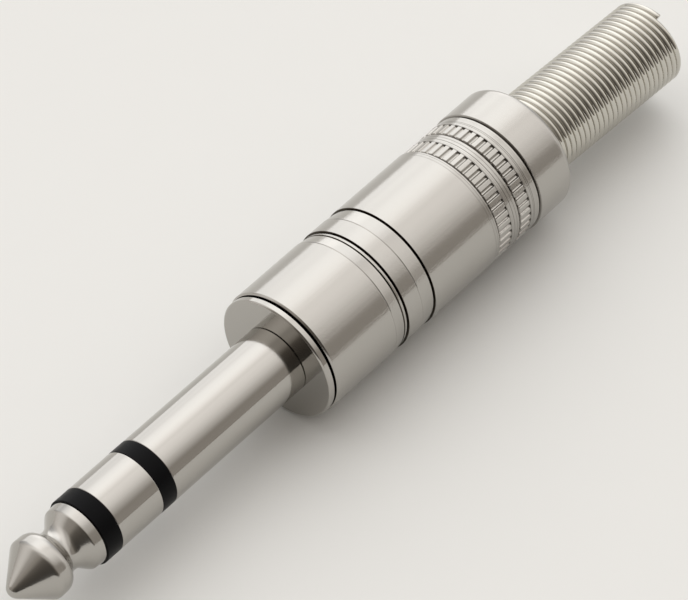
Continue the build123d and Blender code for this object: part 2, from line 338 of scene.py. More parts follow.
def extruded_nylon(colours):
    """Nylon drawn out as a tube: black, with an even and soft sheen."""
    return grained_finish(
        "extruded black nylon", {"Roughness": 0.4, "IOR": 1.53}, colours.nylon, dark_share=0.7,
        grain=0.3, bump_height=0.001,
    )


def phenolic_board(colours):
    """Paper laminated with phenolic resin and punched: brown and dull, with layers that show at the rim."""
    return grained_finish(
        "phenolic board", {"Roughness": 0.55, "IOR": 1.6}, colours.board, dark_share=0.6,
        grain=0.2, bump_height=0.004, stretch=(4, 1, 1),
    )


def tinned_brass(colours):
    """Brass stamped and dipped in tin: a pale grey metal with a soft and slightly uneven shine."""
    return grained_finish(
        "tinned brass", {"Metallic": 1.0, "Roughness": 0.34}, colours.tin, dark_share=0.85,
        grain=0.5, bump_height=0.002,
    )


def natural_polyethylene(colours):
    """Polyethylene drawn out as a tube without pigment: milky white and waxy."""
    return grained_finish(
        "natural polyethylene", {"Roughness": 0.5, "IOR": 1.51}, colours.liner, dark_share=0.93,
        grain=0.6, bump_height=0.002,
    )


def painted_board(colours):
    """Board under matt paint, for the floor: pale and without a reflection of its own."""
    return grained_finish(
        "pale painted board", {"Roughness": 0.9, "Specular IOR Level": 0.1}, colours.floor, dark_share=0.99,
        grain=5.0, bump_height=0.001,
    )


# An outline's corner is a station, a radius and a rounding. Most roundings are one of these.
CRISP = 0.01
BROKEN = 0.02
BEVELLED = 0.03
EASED = 0.05
# An arc has a point every so many degrees, or one point in its middle where its rounding is a fine one.
ARC_STEP = radians(8)
FINE_ROUNDING = 0.06
# A run longer than this has a point near each end, at a share of the corner's rounding from it, so that the
# smooth shading stays flat along the run.
HOLD_RUN = 0.25
HOLD_SHARE = 0.35
HOLD_LIMIT = 1 / 3


def rounded(corners, closed=True):
    """Outline of straight runs whose corners are arcs.

    Each corner is (station, radius, rounding). An arc of rounding q that turns the outline by the angle a
    touches both runs at q * tan(a / 2) from the corner. A point near each end of a long run holds it flat.
    """
    places = np.array([corner[:2] for corner in corners], dtype=float)
    arcs = []
    for index, (here, (_, _, rounding)) in enumerate(zip(places, corners)):
        if rounding == 0 or (not closed and index in (0, len(corners) - 1)):
            arcs.append(here[None])
            continue
        before = places[index - 1] - here
        after = places[(index + 1) % len(corners)] - here
        before /= np.linalg.norm(before)
        after /= np.linalg.norm(after)
        turn = pi - np.arccos(np.clip(before @ after, -1, 1))
        touch = rounding * tan(turn / 2)
        middle = (before + after) / np.linalg.norm(before + after)
        centre = here + middle * rounding / cos(turn / 2)
        steps = 2 if rounding < FINE_ROUNDING else max(2, ceil(turn / ARC_STEP))
        share = np.linspace(0, 1, steps + 1)[:, None]
        first = here + before * touch - centre
        last = here + after * touch - centre
        arcs.append(centre + (np.sin((1 - share) * turn) * first + np.sin(share * turn) * last) / sin(turn))
    outline = []
    for index, arc in enumerate(arcs):
        outline.append(arc)
        if closed or index < len(arcs) - 1:
            following = arcs[(index + 1) % len(arcs)]
            run = following[0] - arc[-1]
            length = np.linalg.norm(run)
            holds = [HOLD_SHARE * corners[i % len(corners)][2] / length for i in (index, index + 1)]
            shares = [min(holds[0], HOLD_LIMIT), 1 - min(holds[1], HOLD_LIMIT)]
            if length > HOLD_RUN:
                outline += [(arc[-1] + run * share)[None] for share, hold in zip(shares, holds) if hold > 0]
    return np.concatenate(outline)


def spun(outline, angles):
    """Grid of points (x, r cos t, r sin t) for an outline of (x, r) pairs and an array of angles t."""
    x = np.repeat(outline[:, :1], len(angles), axis=1)
    r = outline[:, 1:2]
    return np.stack([x, r * np.cos(angles), r * np.sin(angles)], axis=-1)


def even_angles(count):
    """Angles of a full turn, evenly spaced."""
    return np.arange(count) * 2 * pi / count


# Millimetres of run that the map "wrap" holds in its height.
MAP_HEIGHT = 10.0


def mesh_object(name, grid, closed_rows, start_pole=None, end_pole=None, marks=None):
    """Mesh of a grid of points in millimetres, closed round its columns.

    Rows close into a ring, or end at a pole. Faces point outwards where rows run towards +X on the outside.
    The map "wrap" has one turn of the columns as its width and ten millimetres of run as its height. Each
    mark is an attribute with values for the points of the grid's first rows, and is 0 in the rows past them.
    """
    rows, columns = grid.shape[:2]
    strips = rows if closed_rows else rows - 1
    i, j = (part.ravel() for part in np.meshgrid(np.arange(strips), np.arange(columns), indexing="ij"))
    below = (i + 1) % rows
    beside = (j + 1) % columns
    quads = np.stack([
        i * columns + j, i * columns + beside, below * columns + beside, below * columns + j,
    ], -1)
    gaps = np.linalg.norm(np.diff(grid[:, 0], axis=0, append=grid[:1, 0]), axis=-1)
    run = np.concatenate([[0], np.cumsum(gaps)]) / MAP_HEIGHT
    wrap = np.stack([
        np.stack([j, j + 1, j + 1, j], -1) / columns,
        np.stack([run[i], run[i], run[i + 1], run[i + 1]], -1),
    ], -1)
    vertices = [grid.reshape(-1, 3)]
    faces = quads.tolist()
    maps = [wrap.reshape(-1, 2)]
    around = np.arange(columns)
    poles = ((start_pole, 0, (around + 1, around)), (end_pole, rows - 1, (around, around + 1)))
    for pole, row, ends in poles:
        if pole is None:
            continue
        tip = np.full(columns, rows * columns + len(vertices) - 1)
        vertices.append(np.array([pole], dtype=float))
        faces += np.stack([tip, *(row * columns + end % columns for end in ends)], -1).tolist()
        fan = np.stack([np.stack([around + 0.5, *ends], -1) / columns, np.full((columns, 3), run[row])], -1)
        maps.append(fan.reshape(-1, 2))
    mesh = bpy.data.meshes.new(name)
    mesh.from_pydata((np.concatenate(vertices) * MM).tolist(), [], faces)
    layer = mesh.uv_layers.new(name="wrap")
    layer.data.foreach_set("uv", np.concatenate(maps).ravel())
    for mark, values in (marks or {}).items():
        full = np.zeros(len(mesh.vertices), dtype=np.float32)
        full[:len(values) * columns] = np.broadcast_to(values, (len(values), columns)).ravel()
        mesh.attributes.new(mark, "FLOAT", "POINT").data.foreach_set("value", full)
    mesh.shade_smooth()
    mesh.update()
    piece = bpy.data.objects.new(name, mesh)
    bpy.context.scene.collection.objects.link(piece)
    return piece


def place(piece, material, body, slot, *nodes):
    """Gives a piece its finish, the body that carries it and the CAD nodes that it stands for."""
    piece.data.materials.append(material)
    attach(piece, body)
    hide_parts(*nodes)


TIP_BACK = span("tip_insulator")[0]
APEX, PEEN_BACK, _ = span("tip_contact")
SHANK_RADIUS = span("tip_insulator")[2]
SHELL_FRONT, SHELL_BACK, SHELL_RADIUS = span("shell")

NOSE_ROUNDING = 0.88
CONE_HALF_ANGLE = radians(38.7)
BULB_RADIUS = 2.89
BULB_WIDTH = 1.34
BULB_TAPER = 0.05
BULB_EDGE_ROUNDING = 0.6
BULB_BACK_ANGLE = radians(52.7)
BULB_BACK_ROUNDING = 1.02
NECK_RADIUS = 1.965
NECK_WIDTH = 0.96
NECK_ROUNDING = 1.03
FLARE_ANGLE = radians(42.9)
BAND_FRONT_RADIUS = 2.92
BAND_FRONT_ROUNDING = 0.2
BAND_REAR_RADIUS = 3.02
ROD_RADIUS = 1.0
ROD_END_FLAT = 0.2
ROD_END_ROUNDING = 0.1
PEEN_HEIGHT = 0.3
PEEN_LENGTH = 0.25
PEEN_ROUNDING = 0.04
CAP_STEPS = 9
CONTACT_SIDES = 192


def nose_outline():
    """Nose, rod and peened end: a spherical cap, a cone, a bulb, a neck, a flare and the shoulder band."""
    centre = APEX + NOSE_ROUNDING
    bulb_front = APEX - NOSE_ROUNDING * (1 / sin(CONE_HALF_ANGLE) - 1) + BULB_RADIUS / tan(CONE_HALF_ANGLE)
    bulb_back = bulb_front + BULB_WIDTH
    neck_front = bulb_back + (BULB_RADIUS - BULB_TAPER - NECK_RADIUS) / tan(BULB_BACK_ANGLE)
    neck_back = neck_front + NECK_WIDTH
    band_front = neck_back + (BAND_FRONT_RADIUS - NECK_RADIUS) / tan(FLARE_ANGLE)
    turn = np.linspace(0, pi / 2 - CONE_HALF_ANGLE, CAP_STEPS)[1:]
    cap = np.stack([centre - NOSE_ROUNDING * np.cos(turn), NOSE_ROUNDING * np.sin(turn)], -1)
    flank = rounded([
        (*cap[-1], 0),
        (bulb_front, BULB_RADIUS, BULB_EDGE_ROUNDING),
        (bulb_back, BULB_RADIUS - BULB_TAPER, BULB_BACK_ROUNDING),
        (neck_front, NECK_RADIUS, NECK_ROUNDING),
        (neck_back, NECK_RADIUS, NECK_ROUNDING),
        (band_front, BAND_FRONT_RADIUS, BAND_FRONT_ROUNDING),
        (TIP_BACK, BAND_REAR_RADIUS, EASED),
        (TIP_BACK, ROD_RADIUS, BROKEN),
        (PEEN_BACK - PEEN_LENGTH, ROD_RADIUS, BROKEN),
        (PEEN_BACK - PEEN_LENGTH, ROD_RADIUS + PEEN_HEIGHT, PEEN_ROUNDING),
        (PEEN_BACK, ROD_RADIUS, ROD_END_ROUNDING),
        (PEEN_BACK, ROD_END_FLAT, 0),
    ], closed=False)
    return np.concatenate([cap, flank[1:]])


class JACKPLUG_OT_tip_contact(bpy.types.Operator):
    """Turned tip of the plug, with its rod and peened end"""

    bl_idname = "jackplug.tip_contact"
    bl_label = "Tip contact"

    def execute(self, context):
        grid = spun(nose_outline(), even_angles(CONTACT_SIDES))
        piece = mesh_object("tip", grid, False, (APEX, 0, 0), (PEEN_BACK, 0, 0))
        place(piece, rubbed_nickel(context.scene.jackplug_colours), "core", "nickel_polished", "tip_contact")
        return {"FINISHED"}


INNER_TUBE_WALL = 0.45
RING_TUBE_WALL = 0.47
OUTER_TUBE_WALL = 0.42
ASSEMBLY_GAP = 0.03
INSULATOR_SIDES = 160


def tube_outline(front, back, bore, radius, edge):
    """Section of a plain tube with rounded outer edges."""
    return rounded([
        (front, bore, BROKEN), (front, radius, edge), (back, radius, edge), (back, bore, BROKEN),
    ])


class JACKPLUG_OT_insulating_rings(bpy.types.Operator):
    """Black rings between the three contacts"""

    bl_idname = "jackplug.insulating_rings"
    bl_label = "Insulating rings"

    def execute(self, context):
        edge = context.scene.jackplug_sizes.edge / MM
        material = moulded_nylon(context.scene.jackplug_colours)
        bores = {
            "tip_insulator": span("inner_tube")[2] - INNER_TUBE_WALL,
            "ring_insulator": span("outer_tube")[2] - OUTER_TUBE_WALL,
        }
        for node, bore in bores.items():
            front, back, radius = span(node)
            grid = spun(tube_outline(front, back, bore, radius, edge), even_angles(INSULATOR_SIDES))
            place(mesh_object(node + "_moulding", grid, True), material, "core", "black_insulator", node)
        return {"FINISHED"}


class JACKPLUG_OT_ring_contact(bpy.types.Operator):
    """Polished ring, with its thin tube and peened end"""

    bl_idname = "jackplug.ring_contact"
    bl_label = "Ring contact"

    def execute(self, context):
        edge = context.scene.jackplug_sizes.edge / MM
        front, tube_end, radius = span("ring_contact")
        ring_end = span("ring_insulator")[0]
        bore = span("inner_tube")[2] + ASSEMBLY_GAP
        tube_radius = bore + RING_TUBE_WALL
        outline = rounded([
            (front, bore, BROKEN),
            (front, radius, edge),
            (ring_end, radius, edge),
            (ring_end, tube_radius, BROKEN),
            (tube_end - PEEN_LENGTH, tube_radius, BROKEN),
            (tube_end - PEEN_LENGTH, tube_radius + PEEN_HEIGHT, PEEN_ROUNDING),
            (tube_end, tube_radius, PEEN_ROUNDING),
            (tube_end, bore, BROKEN),
        ])
        piece = mesh_object("ring", spun(outline, even_angles(CONTACT_SIDES)), True)
        material = polished_nickel(context.scene.jackplug_colours)
        place(piece, material, "core", "nickel_polished", "ring_contact")
        return {"FINISHED"}


FLANGE_THICKNESS = 0.68
FLANGE_BEVEL_HEIGHT = 0.14
FLANGE_BEVEL_LENGTH = 0.12
UNDERCUT_WIDTH = 0.07
UNDERCUT_DEPTH = 0.1
PARTING_WIDTH = 0.13
PARTING_DEPTH = 0.14
PARTING_REACH = 0.117
# A row this close to the undercut keeps the residue colour's painted shade off the flange's face.
FILM_AND_SHADE_STOP = 0.03
RELIEF_WIDTH = 0.6
RELIEF_DEPTH = 0.55
RELIEF_ROUNDING = 0.1
BOSS_LENGTH = 5.0
BOSS_RADIUS = 5.0
BOSS_LEAD = 0.4
SPIGOT_RADIUS = 3.2
LIP_HEIGHT = 0.25
LIP_LENGTH = 0.28
THREAD_STEPS = 14
SLEEVE_SIDES = 224


def sleeve_outline(edge):
    """Section of the sleeve body in two parts: bore, shank and flange, and then spigot and lip.

    The threaded boss lies between them, and its first and last stations are given too.
    """
    front, back, flange_radius = span("sleeve_body")
    bore = span("outer_tube")[2] + ASSEMBLY_GAP
    relief_back = FLANGE_THICKNESS + RELIEF_WIDTH
    boss_back = relief_back + BOSS_LENGTH
    before = rounded([
        (back, bore, BEVELLED),
        (front, bore, BROKEN),
        (front, SHANK_RADIUS, edge),
        (-UNDERCUT_WIDTH, SHANK_RADIUS, CRISP),
        (-UNDERCUT_WIDTH / 3, SHANK_RADIUS - UNDERCUT_DEPTH, CRISP),
        (0, SHANK_RADIUS - UNDERCUT_DEPTH, CRISP),
        (0, SHANK_RADIUS, 0),
        (0, SHANK_RADIUS + FILM_AND_SHADE_STOP, 0),
        (0, flange_radius - FLANGE_BEVEL_HEIGHT, BROKEN),
        (FLANGE_BEVEL_LENGTH, flange_radius, BEVELLED),
        (FLANGE_THICKNESS - PARTING_WIDTH, flange_radius, CRISP),
        (FLANGE_THICKNESS, flange_radius - PARTING_DEPTH, CRISP),
        (FLANGE_THICKNESS, BOSS_RADIUS - RELIEF_DEPTH, RELIEF_ROUNDING),
        (relief_back, BOSS_RADIUS - RELIEF_DEPTH, RELIEF_ROUNDING),
        (relief_back, BOSS_RADIUS, 0),
    ], closed=False)
    after = rounded([
        (boss_back, BOSS_RADIUS - BOSS_LEAD, 0),
        (boss_back, SPIGOT_RADIUS, EASED),
        (back - LIP_LENGTH, SPIGOT_RADIUS, EASED),
        (back - LIP_LENGTH, SPIGOT_RADIUS + LIP_HEIGHT, BEVELLED),
        (back, SPIGOT_RADIUS, EASED),
        (back, (SPIGOT_RADIUS + bore) / 2, 0),
    ], closed=False)
    return before, relief_back, boss_back, after


def threaded(stations, angles, pitch, depth, front, back):
    """Radius of a right-hand thread at each station and angle.

    The phase is x / pitch - t / (2 pi). The flanks are straight, with a flat an eighth of the pitch wide at
    crest and root, and the lead at each end cuts the crests down as a cone does.
    """
    phase = (stations[:, None] / pitch - angles / (2 * pi)) % 1
    flank = np.clip((np.abs(phase - 0.5) - 1 / 16) / (3 / 8), 0, 1)
    lead = np.maximum(0, stations - (back - BOSS_LEAD)) + np.maximum(0, front + BOSS_LEAD - stations)
    return np.minimum(BOSS_RADIUS - depth + depth * flank, BOSS_RADIUS - lead[:, None])


def with_radii(stations, radii, angles):
    """Grid of points (x, r cos t, r sin t) whose radius r changes with the station x and the angle t."""
    x = np.repeat(stations[:, None], len(angles), axis=1)
    return np.stack([x, radii * np.cos(angles), radii * np.sin(angles)], -1)


class JACKPLUG_OT_sleeve_body(bpy.types.Operator):
    """Polished shank and flange, with the threaded boss behind them"""

    bl_idname = "jackplug.sleeve_body"
    bl_label = "Sleeve body"

    def execute(self, context):
        sizes = context.scene.jackplug_sizes
        before, relief_back, boss_back, after = sleeve_outline(sizes.edge / MM)
        pitch = sizes.pitch / MM
        angles = even_angles(SLEEVE_SIDES)
        steps = round((boss_back - relief_back) / pitch * THREAD_STEPS)
        stations = np.linspace(relief_back, boss_back, steps)
        radii = threaded(stations, angles, pitch, sizes.thread / MM, relief_back, boss_back)
        thread = with_radii(stations, radii, angles)
        grid = np.concatenate([spun(before[:-1], angles), thread, spun(after[1:], angles)])
        station, radius = before[:-1].T
        # The undercut and the parting gap take the residue colour as painted shade, where shade falls between
        # the parts.
        below_shank = (radius < SHANK_RADIUS - CRISP) & (radius > BOSS_RADIUS / 2)
        undercut = below_shank & (np.abs(station) < UNDERCUT_WIDTH)
        parting = (radius > BOSS_RADIUS) & (np.abs(station - FLANGE_THICKNESS) < PARTING_REACH)
        piece = mesh_object("sleeve", grid, True, marks={"painted_shade_and_residue": (undercut | parting)[:, None]})
        material = polished_nickel(context.scene.jackplug_colours)
        place(piece, material, "core", "nickel_polished", "sleeve_body")
        return {"FINISHED"}


GROOVE_STATIONS = (9.75, 13.13)
GROOVE_TAPER_LENGTH = 1.45
GROOVE_TAPER_DEPTH = 0.12
GROOVE_HALF_WIDTH = 0.09
LINE_OFFSET = 0.38
LINE_HALF_WIDTH = 0.075
LINE_DEPTH = 0.12
SCORE_WIDTH = 0.05
SCORE_DEPTH = 0.03
SCORE_LIP = 0.002
SCORE_ROUNDING = 0.005
NOTCH_STATIONS = (21.67, 24.44, 27.07)
NOTCH_HALF_WIDTH = 0.12
FLUTE_LENGTHS = (1.48, 1.3)
FLUTE_SHARE = 0.52
FLUTE_END = 0.14
FLUTE_COLUMNS = np.array([1.07, 1.0, 0.9, 0.6, 0.2])
BAND_RECESS = 0.08
STRIP_RECESS = 0.12
RUNOUT_SHARES = np.array([1.0, 0.7, 0.4, 0.2, 0.08, 0.02])
STRIP_STEP = 0.03
REAR_ROUNDING = 0.6
SHELL_CHAMFER = 0.15
SHELL_BORE = 4.6
THREAD_BORE = 5.04
THREAD_END = 6.58
THREAD_MOUTH_ROUNDING = 0.1
REAR_WALL = 1.2
REAR_HOLE = 4.12
REAR_HOLE_CHAMFER = 0.4
REAR_HOLE_ROUNDING = 0.08
# The outside and the inside of the shell meet at its two end faces, this far outwards from the bores.
OUTSIDE_SEAM = 0.3
INSIDE_SEAM = 0.2
# The residue colour, painted shade with some residue film, fills a V up to this far from its edge, ends on
# the rounding of the shell's front edge, and reaches into the flutes from the notch in front.
FILM_AND_SHADE_EDGE = 0.001
FILM_AND_SHADE_LIP = 0.005
FILM_AND_SHADE_REACH = 0.1
FILM_AND_SHADE_ROWS = np.array([0.9, 1.3])
TOOLED_REACH = 0.9
TOOLED_FADE = 0.3


def groove_corners(notch, depth, lined):
    """Corners of one fine groove: a scored line, a shallow taper and a pointed notch.

    A lined groove has a finer notch in front of it, past a narrow land.
    """
    front = notch - GROOVE_HALF_WIDTH
    start = front - GROOVE_TAPER_LENGTH
    line = notch - LINE_OFFSET
    land = SHELL_RADIUS - GROOVE_TAPER_DEPTH
    fine = [
        (line - LINE_HALF_WIDTH, land, CRISP),
        (line, land - LINE_DEPTH, CRISP),
        (line + LINE_HALF_WIDTH, land, CRISP),
    ]
    return [
        (start - SCORE_WIDTH, SHELL_RADIUS, SCORE_ROUNDING),
        (start, SHELL_RADIUS - SCORE_DEPTH, SCORE_ROUNDING),
        (start + SCORE_WIDTH, SHELL_RADIUS - SCORE_LIP, SCORE_ROUNDING),
        *(fine if lined else []),
        (front, land, CRISP),
        (notch, SHELL_RADIUS - depth, CRISP),
        (notch + GROOVE_HALF_WIDTH, SHELL_RADIUS, CRISP),
    ]


def band_corners(depth):
    """Corners of the three pointed notches, with the recessed bands and strips between them."""
    corners = []
    levels = [SHELL_RADIUS] + [SHELL_RADIUS - STRIP_RECESS] * len(FLUTE_LENGTHS)
    lands = [SHELL_RADIUS - BAND_RECESS] * len(FLUTE_LENGTHS) + [SHELL_RADIUS]
    for index, notch in enumerate(NOTCH_STATIONS):
        corners += [
            (notch - NOTCH_HALF_WIDTH, levels[index], BROKEN),
            (notch, SHELL_RADIUS - depth, CRISP),
            (notch + NOTCH_HALF_WIDTH, lands[index], BROKEN),
        ]
        if index < len(FLUTE_LENGTHS):
            step = notch + NOTCH_HALF_WIDTH + FLUTE_LENGTHS[index]
            corners += [
                (step, lands[index], CRISP),
                (step + STRIP_STEP, SHELL_RADIUS - STRIP_RECESS, CRISP),
            ]
    return corners


def with_stations(outline, stations):
    """The outline with points added at the given stations, on the runs that they fall on."""
    runs = np.searchsorted(outline[:, 0], stations)
    before, after = outline[runs - 1], outline[runs]
    share = (stations - before[:, 0]) / (after[:, 0] - before[:, 0])
    return np.insert(outline, runs, before + (after - before) * share[:, None], axis=0)


def flute_cut(stations, angles, count, depth):
    """Depth of the flutes at each station and angle.

    Across, a flute is half an ellipse: the root of 1 - t^2, where t runs from -1 to 1. Along, it is open to
    the notch in front and runs out behind as the quarter circle that a round cutter leaves.
    """
    across = np.abs((angles * count / (2 * pi)) % 1 - 0.5) / (FLUTE_SHARE / 2)
    profile = np.sqrt(np.clip(1 - across**2, 0, 1))
    along = np.zeros_like(stations)
    for notch, length in zip(NOTCH_STATIONS, FLUTE_LENGTHS):
        end = notch + NOTCH_HALF_WIDTH + length
        inside = (stations > notch + NOTCH_HALF_WIDTH / 2) & (stations < end)
        runout = np.clip((stations - (end - FLUTE_END)) / FLUTE_END, 0, 1)
        along = np.where(inside, np.sqrt(1 - runout**2), along)
    return depth * along[:, None] * profile


def tooled(stations):
    """Strength of the tool's marks: 1 in the strips behind the flutes and in front of the first notch."""
    strength = np.zeros_like(stations)
    for index, notch in enumerate(NOTCH_STATIONS):
        reach = TOOLED_REACH
        if index:
            reach = notch - NOTCH_STATIONS[index - 1] - FLUTE_LENGTHS[index - 1]
        inside = (stations > notch - reach) & (stations < notch)
        strength = np.where(inside, 1, strength)
    return strength


def residue_and_shade(stations, cut):
    """Strength of the dark colour, painted shade with some residue film: 1 at the front edge, in the grooves
    and in the roots of the notches.

    Where a flute opens into a notch, the painted shade follows the cut's depth across and ends a little behind
    it.
    """
    sharp = [(GROOVE_STATIONS[0] - LINE_OFFSET, LINE_HALF_WIDTH)]
    sharp += [(groove, GROOVE_HALF_WIDTH) for groove in GROOVE_STATIONS]
    sharp += [(notch, NOTCH_HALF_WIDTH / 2) for notch in NOTCH_STATIONS]
    film_and_shade = stations < SHELL_FRONT + FILM_AND_SHADE_LIP
    for middle, reach in sharp:
        film_and_shade |= np.abs(stations - middle) < reach - FILM_AND_SHADE_EDGE
    mouths = np.zeros(len(stations), dtype=bool)
    for notch in NOTCH_STATIONS[:-1]:
        mouths |= np.abs(stations - notch - NOTCH_HALF_WIDTH) < FILM_AND_SHADE_REACH
    return np.maximum(film_and_shade[:, None], mouths[:, None] * cut / cut.max())


def shell_outside(notch):
    """Outline of the shell's outside from front to back, with the rows that the flutes and the film need."""
    outline = rounded([
        (SHELL_FRONT, THREAD_BORE + OUTSIDE_SEAM, 0),
        (SHELL_FRONT, SHELL_RADIUS - SHELL_CHAMFER, BEVELLED),
        (SHELL_FRONT + SHELL_CHAMFER, SHELL_RADIUS, BEVELLED),
        *groove_corners(GROOVE_STATIONS[0], notch, True),
        *groove_corners(GROOVE_STATIONS[1], notch, False),
        *band_corners(notch),
        (SHELL_BACK, SHELL_RADIUS, REAR_ROUNDING),
        (SHELL_BACK, REAR_HOLE + OUTSIDE_SEAM, 0),
    ], closed=False)
    tooled_front = NOTCH_STATIONS[0] - TOOLED_REACH
    mouths = np.array(NOTCH_STATIONS[:-1]) + NOTCH_HALF_WIDTH
    ends = mouths + FLUTE_LENGTHS
    for extra in (
        np.array([tooled_front, tooled_front + TOOLED_FADE]),
        (ends[:, None] - FLUTE_END * RUNOUT_SHARES).ravel(),
        (mouths[:, None] + FILM_AND_SHADE_REACH * FILM_AND_SHADE_ROWS).ravel(),
    ):
        outline = with_stations(outline, extra)
    return outline


def shell_inside():
    """Outline of the shell's inside from back to front: the spring's hole, the bore and the thread."""
    return rounded([
        (SHELL_BACK, REAR_HOLE + INSIDE_SEAM, 0),
        (SHELL_BACK, REAR_HOLE, REAR_HOLE_ROUNDING),
        (SHELL_BACK - REAR_WALL + REAR_HOLE_CHAMFER, REAR_HOLE, EASED),
        (SHELL_BACK - REAR_WALL, REAR_HOLE + REAR_HOLE_CHAMFER, 0),
        (SHELL_BACK - REAR_WALL, SHELL_BORE, 0),
        (THREAD_END, SHELL_BORE, 0),
        (THREAD_END, THREAD_BORE, 0),
        (SHELL_FRONT, THREAD_BORE, THREAD_MOUTH_ROUNDING),
        (SHELL_FRONT, THREAD_BORE + INSIDE_SEAM, 0),
    ], closed=False)


class JACKPLUG_OT_shell(bpy.types.Operator):
    """Turned barrel with two fine grooves and two rows of short flutes"""

    bl_idname = "jackplug.shell"
    bl_label = "Shell"

    def execute(self, context):
        sizes = context.scene.jackplug_sizes
        count = sizes.flutes
        outside = shell_outside(sizes.notch / MM)
        inside = shell_inside()
        half = FLUTE_COLUMNS * FLUTE_SHARE / 2
        shares = np.concatenate([0.5 - half, 0.5 + half[::-1]])
        angles = ((np.arange(count)[:, None] + shares) * 2 * pi / count).ravel()
        cut = flute_cut(outside[:, 0], angles, count, sizes.flute_depth / MM)
        barrel = with_radii(outside[:, 0], outside[:, 1:2] - cut, angles)
        marks = {"painted_shade_and_residue": residue_and_shade(outside[:, 0], cut), "tooling": tooled(outside[:, 0])[:, None]}
        piece = mesh_object("barrel", np.concatenate([barrel, spun(inside, angles)]), True, marks=marks)
        place(piece, satin_nickel(context.scene.jackplug_colours), "shell", "nickel_satin", "shell")
        return {"FINISHED"}


SEAT_TURNS = 2.0
NECK_TURNS = 0.5
SEAT_COIL_RADIUS = 4.2
COIL_RADIUS = 3.7
COIL_PITCH = 0.61
END_AZIMUTH = radians(105)
LEAN_AZIMUTH = radians(209)
STEPS_PER_TURN = 56
WIRE_SIDES = 18
# The wire's cut ends are bevelled: three rings lie at these shares of the bevel's length.
END_BEVEL = 0.05
END_SHARES = np.array([0, 0.25, 1])
END_SCALES = np.array([0.82, 0.95, 1])


def coil_centre(turns, first, total, lean):
    """Centre line of the coil and its outward direction.

    After n turns the line is at (x, R cos a, R sin a), with x = x0 + pitch n and a = 2 pi (n - total) + end
    azimuth. R falls from the seat's radius to the body's. Behind the shell the line drifts sideways by the
    tangent of the lean.
    """
    x = first + turns * COIL_PITCH
    blend = np.clip((turns - SEAT_TURNS) / NECK_TURNS, 0, 1)
    radius = SEAT_COIL_RADIUS + (COIL_RADIUS - SEAT_COIL_RADIUS) * blend
    angle = END_AZIMUTH + 2 * pi * (turns - total)
    drift = np.maximum(x - SHELL_BACK, 0) * tan(lean)
    outward = np.stack([np.zeros_like(x), np.cos(angle), np.sin(angle)], -1)
    side = np.array([0, cos(LEAN_AZIMUTH), sin(LEAN_AZIMUTH)])
    centre = radius[:, None] * outward + drift[:, None] * side
    centre[:, 0] = x
    return centre, outward


class JACKPLUG_OT_spring(bpy.types.Operator):
    """Close-wound bend relief of round wire"""

    bl_idname = "jackplug.spring"
    bl_label = "Spring"

    def execute(self, context):
        sizes = context.scene.jackplug_sizes
        wire = sizes.wire / MM / 2
        low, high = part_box("spring")
        first = low[0] / MM + wire
        total = (high[0] / MM - wire - first) / COIL_PITCH
        turns = np.linspace(0, total, round(total * STEPS_PER_TURN))[1:-1]
        bevel = END_SHARES * END_BEVEL / (2 * pi * COIL_RADIUS)
        turns = np.concatenate([bevel, turns, (total - bevel)[::-1]])
        scale = np.ones_like(turns)
        scale[:len(bevel)] = END_SCALES
        scale[-len(bevel):] = END_SCALES[::-1]
        centre, outward = coil_centre(turns, first, total, sizes.lean)
        round_wire = even_angles(WIRE_SIDES)
        along = np.array([1.0, 0, 0])
        ring = np.cos(round_wire)[:, None] * along + np.sin(round_wire)[:, None] * outward[:, None]
        grid = centre[:, None] + ring * wire * scale[:, None, None]
        piece = mesh_object("coil", grid, False, centre[0], centre[-1])
        place(piece, spring_wire(context.scene.jackplug_colours), "shell", "spring_wire", "spring")
        return {"FINISHED"}


class JACKPLUG_OT_inner_parts(bpy.types.Operator):
    """Finishes of the tubes, washers, lugs and liner inside the shell"""

    bl_idname = "jackplug.inner_parts"
    bl_label = "Inner parts"

    def execute(self, context):
        colours = context.scene.jackplug_colours
        nylon, board = extruded_nylon(colours), phenolic_board(colours)
        tin, liner = tinned_brass(colours), natural_polyethylene(colours)
        finishes = {
            "inner_tube": nylon, "outer_tube": nylon, "ring_washer": board, "tip_washer": board,
            "cable_clamp": tin, "ring_lug": tin, "tip_lug": tin, "liner": liner,
        }
        for node, material in finishes.items():
            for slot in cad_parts[node].material_slots:
                slot.material = material
        return {"FINISHED"}


FLOOR_HALF = 3.0
# Each light is a list of a cosine to its direction and the level of light that comes from there. A fit to the
# tones of the turned metal in the photo gave the directions and levels. Stops that change little are left out.
WINDOW_DIRECTION = (0.536, 0.527, 0.66)
WINDOW = (
    (-1.0, 0.05), (-0.38, 0.0), (0.08, 0.01), (0.23, 0.24), (0.38, 0.32), (0.69, 0.56), (0.85, 0.77),
    (1.0, 1.65),
)
ROOM_DIRECTION = (0.695, 0.719, -0.032)
ROOM = (
    (-1.0, 0.05), (-0.69, 0.16), (-0.54, 0.37), (-0.38, 0.4), (-0.23, 0.33), (-0.08, 0.58), (0.08, 0.66),
    (0.23, 0.6), (0.38, 0.36), (0.69, 0.0), (0.85, 0.0), (1.0, 1.04),
)
DIM_TINT = (1.0, 0.88, 0.74)
SKY_STRENGTH = 1.2
CAMERA_PLACE = (-0.1636, -0.14825, 0.264506)
CAMERA_AZIMUTH = radians(-49.26)
CAMERA_ELEVATION = radians(49.35)
CAMERA_LENS = 220.06
CAMERA_SENSOR = 36
CAMERA_CLIP = (0.01, 20)


